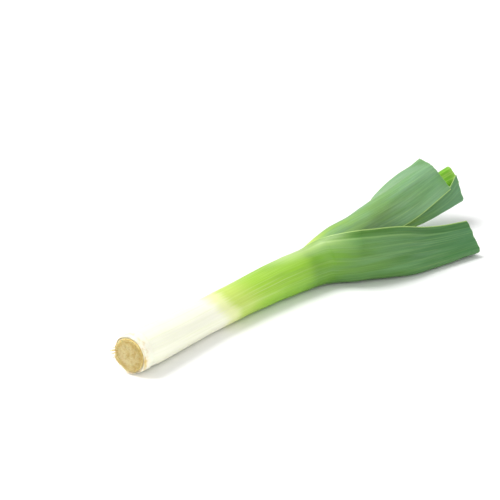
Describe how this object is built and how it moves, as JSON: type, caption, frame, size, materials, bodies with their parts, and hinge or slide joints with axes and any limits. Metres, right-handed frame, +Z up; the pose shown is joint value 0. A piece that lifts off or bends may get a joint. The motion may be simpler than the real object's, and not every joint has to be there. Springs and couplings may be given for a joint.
{
  "type": "leek",
  "caption": "Trimmed leek lying on its side, with a white shank, a root disc with short stubs and folded green leaves spreading to cut ends.",
  "frame": {"origin": "centre of the bounding box in plan, at the height of the surface it lies on", "axes": "+X from the root end to the cut leaf ends, +Z up, the outer leaf bending toward -Y"},
  "size_m": [0.4714, 0.1253, 0.065],
  "materials": {
    "root_cork": "rough corky plant tissue",
    "root_fibre": "dry fibrous root ends",
    "dry_skin": "thin papery skin",
    "shaft_skin": "smooth moist plant skin, white to yellow green",
    "leaf_outer": "waxy green leaf with fine ribs",
    "leaf_second": "waxy pale green leaf with fine ribs",
    "leaf_third": "waxy dark green leaf with fine ribs",
    "leaf_heart": "bright yellow green young leaf"
  },
  "bodies": {
    "root": {"root_plate": "root_cork", "roots": "root_fibre", "base_sheath": "dry_skin", "shaft": "shaft_skin", "leaf_1": "leaf_outer", "leaf_2": "leaf_second", "leaf_3": "leaf_third", "leaf_4": "leaf_heart"}
  },
  "joints": []
}
